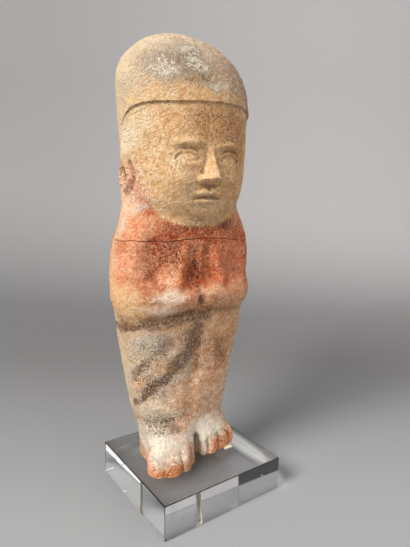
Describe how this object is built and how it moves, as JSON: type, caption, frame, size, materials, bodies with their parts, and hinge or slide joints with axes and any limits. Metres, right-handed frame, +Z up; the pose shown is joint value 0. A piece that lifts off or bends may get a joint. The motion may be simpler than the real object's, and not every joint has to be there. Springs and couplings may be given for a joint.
{
  "type": "terracotta statuette on a clear block",
  "caption": "Standing mould-made terracotta figure in a close cap, arms folded to the belly, pinned on a clear acrylic block.",
  "frame": {"origin": "middle of the acrylic block's underside", "axes": "+Z up, the figure faces -Y, +X is to the figure's left"},
  "size_m": [0.0925, 0.075, 0.26],
  "materials": {
    "terracotta": "matt fired clay with worn red, cream and grey-black slip and pale soil crust",
    "acrylic": "clear polished cast acrylic",
    "brass": "turned, slightly dull",
    "wedge": "pale, waxy"
  },
  "bodies": {
    "root": {"statuette": "terracotta", "acrylic_base": "acrylic", "mounting_pin": "brass", "foot_wedge": "wedge"}
  },
  "joints": []
}
